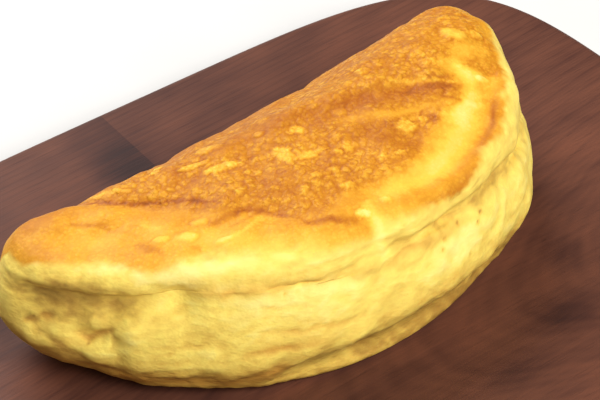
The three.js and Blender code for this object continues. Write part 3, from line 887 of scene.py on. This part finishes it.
def uneven(tree, vector, scale):
    inputs = {"Vector": vector, "Scale": scale}
    return node(tree, "ShaderNodeGroup", inputs, node_tree=UNEVEN).outputs[0]


def stretched(tree, vector, scale):
    return node(tree, "ShaderNodeMapping", {"Vector": vector, "Scale": scale}).outputs[0]


SKIN_STOPS = (
    (0.00, (242, 222, 126)), (0.20, (240, 196, 70)), (0.42, (226, 160, 43)),
    (0.58, (203, 130, 28)), (0.78, (174, 97, 23)), (1.00, (130, 64, 18)),
)
CRUMB_STOPS = (
    (0.00, (142, 110, 48)), (0.16, (184, 148, 66)), (0.36, (234, 200, 92)),
    (0.60, (253, 226, 110)), (1.00, (255, 240, 148)),
)
CRUMB_WARM = (222, 164, 70)


# Of a blister's cell, in cells: where its dome starts and is full, which cells are raised, where
# the line between cells starts and is full, and how the bending noise breaks it.
DOME_REACH, RAISED_CELLS = (0.72, 0.20), (-0.35, 0.80)
LINE_REACH, LINE_BREAKS = (0.26, 0.0), (0.66, 0.44)
CELL_SMOOTHNESS = 0.35
# Cells per metre and bend in metres.
BROAD_CELLS, SMALL_CELLS = (390.0, 0.0022), (800.0, 0.0010)
MOTTLE_CELLS, CRUMB_CELLS, CRUMB_STRETCH = 900.0, 330.0, (0.6, 0.6, 1.0)


def blister_group():
    """Fine blistering of browned egg on bent coordinates: round cells, each raised and paler by
    its own share, with broken dark lines where they meet."""
    tree = bpy.data.node_groups.new("blisters", "ShaderNodeTree")
    for name, kind in (("Vector", "Vector"), ("Cells", "Float"), ("Bend", "Float")):
        tree.interface.new_socket(name, in_out="INPUT", socket_type="NodeSocket" + kind)
    for name in ("Pale", "Line"):
        tree.interface.new_socket(name, in_out="OUTPUT", socket_type="NodeSocketFloat")
    given = tree.nodes.new("NodeGroupInput").outputs
    inputs = {"Vector": given["Vector"], "Scale": given["Cells"], "Detail": 1.0}
    bend = node(tree, "ShaderNodeTexNoise", inputs)
    centred = vector_node(tree, "SUBTRACT", bend.outputs["Color"], (0.5, 0.5, 0.5))[0]
    push = node(tree, "ShaderNodeVectorMath", {0: centred, "Scale": given["Bend"]},
                operation="SCALE").outputs[0]
    bent = vector_node(tree, "ADD", given["Vector"], push)[0]
    inputs = {"Vector": bent, "Scale": given["Cells"]}
    round_cells = node(tree, "ShaderNodeTexVoronoi", {**inputs, "Smoothness": CELL_SMOOTHNESS},
                       feature="SMOOTH_F1").outputs
    edges = node(tree, "ShaderNodeTexVoronoi", inputs, feature="DISTANCE_TO_EDGE").outputs
    own = node(tree, "ShaderNodeSeparateColor", {0: round_cells["Color"]}).outputs[0]
    dome = ranged(tree, round_cells["Distance"], *DOME_REACH, kind="SMOOTHSTEP")
    pale = math_node(tree, "MULTIPLY", dome, ranged(tree, own, *RAISED_CELLS))
    line = ranged(tree, edges["Distance"], *LINE_REACH, kind="SMOOTHSTEP")
    kept = math_node(tree, "MULTIPLY", line, ranged(tree, bend.outputs[0], *LINE_BREAKS))
    result = tree.nodes.new("NodeGroupOutput")
    tree.links.new(pale, result.inputs["Pale"])
    tree.links.new(kept, result.inputs["Line"])
    return tree


def blisters(tree, group, vector, cells, bend):
    made = node(tree, "ShaderNodeGroup", {"Vector": vector, "Cells": cells, "Bend": bend},
                node_tree=group)
    return made.outputs["Pale"], made.outputs["Line"]


def egg_material():
    """Cooked egg: blistered skin and soft crumb, each with its colours and relief, mixed by the
    share of skin."""
    material, tree = new_material("cooked_egg")
    place = node(tree, "ShaderNodeTexCoord").outputs["Object"]
    skin, tone, busy, light, warm = (
        node(tree, "ShaderNodeAttribute", attribute_name=mask).outputs["Fac"]
        for mask in ("skin", "tone", "busy", "light", "warm")
    )
    group = blister_group()
    pale, line = blisters(tree, group, place, *BROAD_CELLS)
    small_pale, small_line = blisters(tree, group, place, *SMALL_CELLS)
    mottle = uneven(tree, place, MOTTLE_CELLS)
    browned = ranged(tree, busy, 0.4, 1.0, low=0.15)
    pale = math_node(tree, "MULTIPLY", pale, browned)
    line = math_node(tree, "MULTIPLY", line, browned)
    shift = weighed(tree, 0.075, (pale, -0.17), (line, 0.06), (small_pale, -0.10),
                    (small_line, 0.05), (mottle, 0.06))
    tone = math_node(tree, "MULTIPLY_ADD", shift, busy, tone)
    skin_colour = ramp(tree, tone, SKIN_STOPS)

    soft = uneven(tree, stretched(tree, place, CRUMB_STRETCH), CRUMB_CELLS)
    # The crumb's lightness, painted shade and highlights included, runs through its colour ramp.
    crumb_colour = ramp(tree, weighed(tree, light, (soft, 0.08)), CRUMB_STOPS)
    crumb_colour = mixed(tree, warm, crumb_colour, linear(*CRUMB_WARM))

    skin_height = weighed(tree, pale, (small_pale, 0.45), (line, -0.15), (mottle, 0.12))
    heights = {
        0: skin, 2: math_node(tree, "MULTIPLY", soft, 0.55),
        3: math_node(tree, "MULTIPLY", skin_height, busy),
    }
    height = node(tree, "ShaderNodeMix", heights).outputs[0]
    bump = node(tree, "ShaderNodeBump", {"Strength": 0.65, "Distance": 0.0005, "Height": height})
    surface = node(tree, "ShaderNodeBsdfPrincipled", {
        "Base Color": mixed(tree, skin, crumb_colour, skin_colour),
        "Roughness": weighed(tree, 0.66, (skin, -0.10)), "Normal": bump.outputs[0],
        "Subsurface Weight": 0.08, "Subsurface Scale": 0.002,
        "Subsurface Radius": (1.0, 0.5, 0.15), "Specular IOR Level": 0.18,
    })
    finish_material(tree, surface)
    return material


# Walnut, in metres: on the top the growth rings are nested arches that open to +X about an axis
# along X, each a parabola, so that away from the axis they run nearly along the grain.
ARCH_AXIS_Y = -0.042
ARCH_WIDTH = 0.022
ARCH_SPACING = 0.036
# Darker figure in the wood: middle in X and Y, reach in X and Y.
WALNUT_SPOTS = (
    (0.051, -0.052, 0.016, 0.009), (0.022, -0.060, 0.014, 0.008), (0.062, -0.082, 0.020, 0.010),
    (0.070, -0.030, 0.010, 0.012), (-0.020, 0.090, 0.012, 0.014), (-0.040, 0.072, 0.016, 0.008),
)
SPOT_REACH, SPOT_RAGGED, SPOT_DARKER = (1.3, 0.2), 0.5, -0.26
# The glued joint: its place, where it starts, how far the wood is darker before it, and by how much.
JOINT_X, JOINT_FROM_Y, JOINT_REACH, JOINT_DARKER = -0.0115, 0.080, 0.022, -0.22
INNER_RINGS = 4  # fine rings between two growth rings
LATE_SHARPNESS = 7.0  # how narrow the dark late wood of a ring is
# Unevenness of the wood: coordinates squeezed along the grain, and cells per metre.
WALNUT_WARP, WALNUT_FIBRE, WALNUT_CLOUD = (0.6, 26.0), (0.04, 700.0), (0.5, 34.0)
WALNUT_PORES, PORE_FROM, PORE_SHARE, PORE_COLOUR = (0.06, 1700.0), 0.68, 0.20, (45, 27, 22)
WALNUT_STOPS = (
    (0.00, (54, 34, 31)), (0.30, (80, 48, 39)), (0.55, (100, 61, 47)), (0.80, (116, 70, 52)),
    (1.00, (132, 82, 60)),
)


def along_grain(tree, place, squeeze):
    """Coordinates squeezed along the grain, so that noise on them is drawn out along it."""
    return stretched(tree, place, (squeeze, 1.0, 1.0))


def walnut_material():
    """Oiled walnut: growth rings, fibres, clouds and darker spots make its tone, which a ramp
    turns into colour; pores are pressed in."""
    material, tree = new_material("walnut")
    place = node(tree, "ShaderNodeTexCoord").outputs["Object"]
    warp, fibre, cloud = (
        uneven(tree, along_grain(tree, place, squeeze), cells)
        for squeeze, cells in (WALNUT_WARP, WALNUT_FIBRE, WALNUT_CLOUD)
    )
    x, y, _ = node(tree, "ShaderNodeSeparateXYZ", {0: place}).outputs
    side = math_node(tree, "SUBTRACT", y, ARCH_AXIS_Y)
    sag = math_node(tree, "MULTIPLY", math_node(tree, "MULTIPLY", side, side), -1 / ARCH_WIDTH)
    ring = math_node(tree, "DIVIDE", math_node(tree, "ADD", x, sag), ARCH_SPACING)
    ring = weighed(tree, ring, (warp, 0.30))
    wave = math_node(tree, "SINE", math_node(tree, "MULTIPLY", ring, 2 * PI))
    late = math_node(tree, "POWER", weighed(tree, 0.5, (wave, 0.5)), LATE_SHARPNESS)
    inner = math_node(tree, "SINE", math_node(tree, "MULTIPLY", ring, 2 * PI * INNER_RINGS))
    tone = weighed(tree, 0.51, (late, -0.09), (inner, 0.03), (fibre, 0.14), (cloud, 0.34))
    for spot_x, spot_y, long, wide in WALNUT_SPOTS:
        off = vector_node(tree, "SUBTRACT", place, (spot_x, spot_y, 0.0))[0]
        scaled = vector_node(tree, "MULTIPLY", off, (1 / long, 1 / wide, 0.0))[0]
        reach = vector_node(tree, "LENGTH", scaled)["Value"]
        reach = weighed(tree, reach, (warp, SPOT_RAGGED))
        spot = ranged(tree, reach, *SPOT_REACH, high=SPOT_DARKER, kind="SMOOTHSTEP")
        tone = math_node(tree, "ADD", tone, spot)
    joint = ranged(tree, x, JOINT_X - JOINT_REACH, JOINT_X, high=JOINT_DARKER)
    joint = math_node(tree, "MULTIPLY", joint, math_node(tree, "LESS_THAN", x, JOINT_X))
    joint = math_node(tree, "MULTIPLY", joint, math_node(tree, "GREATER_THAN", y, JOINT_FROM_Y))
    colour = ramp(tree, math_node(tree, "ADD", tone, joint), WALNUT_STOPS)
    squeeze, cells = WALNUT_PORES
    inputs = {"Vector": along_grain(tree, place, squeeze), "Scale": cells, "Detail": 1.0}
    pores = node(tree, "ShaderNodeTexNoise", inputs).outputs[0]
    pore = math_node(tree, "GREATER_THAN", pores, PORE_FROM)
    share = math_node(tree, "MULTIPLY", pore, PORE_SHARE)
    height = weighed(tree, fibre, (pore, -1.0))
    bump = node(tree, "ShaderNodeBump", {"Strength": 0.2, "Distance": 0.0002, "Height": height})
    surface = node(tree, "ShaderNodeBsdfPrincipled", {
        "Base Color": mixed(tree, share, colour, linear(*PORE_COLOUR)),
        "Roughness": weighed(tree, 0.50, (fibre, 0.05)), "Normal": bump.outputs[0],
        "Specular IOR Level": 0.15,
    })
    finish_material(tree, surface)
    return material


def floor_material():
    material, tree = new_material("pale_floor")
    place = node(tree, "ShaderNodeTexCoord").outputs["Object"]
    colour = ramp(tree, uneven(tree, place, FLOOR_CELLS), FLOOR_STOPS)
    surface = node(tree, "ShaderNodeBsdfPrincipled", {"Base Color": colour, "Roughness": 0.7})
    finish_material(tree, surface)
    return material


# ---- Studio: camera, floor and lights ----
VIEW_TURN, VIEW_RISE = math.radians(-37), math.radians(41)
VIEW_DISTANCE = 0.787
VIEW_TARGET = Vector(OMELETTE_PLACE * MM)
LENS, SENSOR = 144.0, 36.0
NEAR, FAR = 0.01, 20.0
FLOOR_REACH = 1500.0
FLOOR_CELLS, FLOOR_STOPS = 6.0, ((0.0, (222, 220, 216)), (1.0, (232, 230, 226)))
SKY_LIGHT, BACKDROP, SKY_COLOUR = 0.03, 0.75, (1.0, 0.985, 0.96, 1.0)
# Lights: name, turn and rise in degrees, distance, size, power in watts, colour.
LIGHTS = (
    ("key", 2, 44, 1.4, 0.8, 21.5, (1.0, 0.98, 0.95)),
    ("window", 185, 42, 1.4, 1.1, 26.0, (0.97, 0.98, 1.0)),
)


def direction(turn, rise):
    """The unit vector at a turn from -Y towards +X and a rise above the floor."""
    flat = math.cos(rise)
    return Vector((math.sin(turn) * flat, -math.cos(turn) * flat, math.sin(rise)))


def make_camera():
    camera = bpy.data.objects.new("camera", bpy.data.cameras.new("camera"))
    back = direction(VIEW_TURN, VIEW_RISE)
    camera.location = VIEW_TARGET + back * VIEW_DISTANCE
    camera.rotation_euler = back.to_track_quat("Z", "Y").to_euler()
    camera.data.lens = LENS
    camera.data.sensor_width = SENSOR
    camera.data.clip_start, camera.data.clip_end = NEAR, FAR
    bpy.context.scene.collection.objects.link(camera)
    bpy.context.scene.camera = camera


def make_light(name, turn, rise, distance, size, power, colour):
    """A square soft light that faces the omelette."""
    lamp = bpy.data.lights.new(name, "AREA")
    lamp.shape = "SQUARE"
    lamp.size = size
    lamp.energy = power
    lamp.color = colour
    made = bpy.data.objects.new(name, lamp)
    back = direction(math.radians(turn), math.radians(rise))
    made.location = VIEW_TARGET + back * distance
    made.rotation_euler = back.to_track_quat("Z", "Y").to_euler()
    bpy.context.scene.collection.objects.link(made)


def make_floor():
    corners = np.array([[-1, -1, 0], [1, -1, 0], [1, 1, 0], [-1, 1, 0]])
    floor = put_mesh("floor", corners * FLOOR_REACH, np.array([[0, 1, 2, 3]]), floor_material())


def make_world():
    """An even soft light all round, behind which the eye sees a paler backdrop."""
    world = bpy.data.worlds.new("studio")
    world.use_nodes = True
    tree = world.node_tree
    seen = node(tree, "ShaderNodeLightPath").outputs["Is Camera Ray"]
    back = tree.nodes["Background"]
    back.inputs["Color"].default_value = SKY_COLOUR
    level = weighed(tree, SKY_LIGHT, (seen, BACKDROP - SKY_LIGHT))
    tree.links.new(level, back.inputs["Strength"])
    bpy.context.scene.world = world


make_camera()
make_floor()
make_world()
for light in LIGHTS:
    make_light(*light)
bpy.context.scene.view_settings.view_transform = "Standard"

board_points, board_faces = board_surface()
board = put_mesh("board_walnut", board_points, board_faces, walnut_material())
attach(board, "root")
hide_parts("board")

egg_points, egg_faces, egg_masks = omelette_surface()
egg = put_mesh("omelette_egg", egg_points, egg_faces, egg_material(), egg_masks)
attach(egg, "root")
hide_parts("omelette")
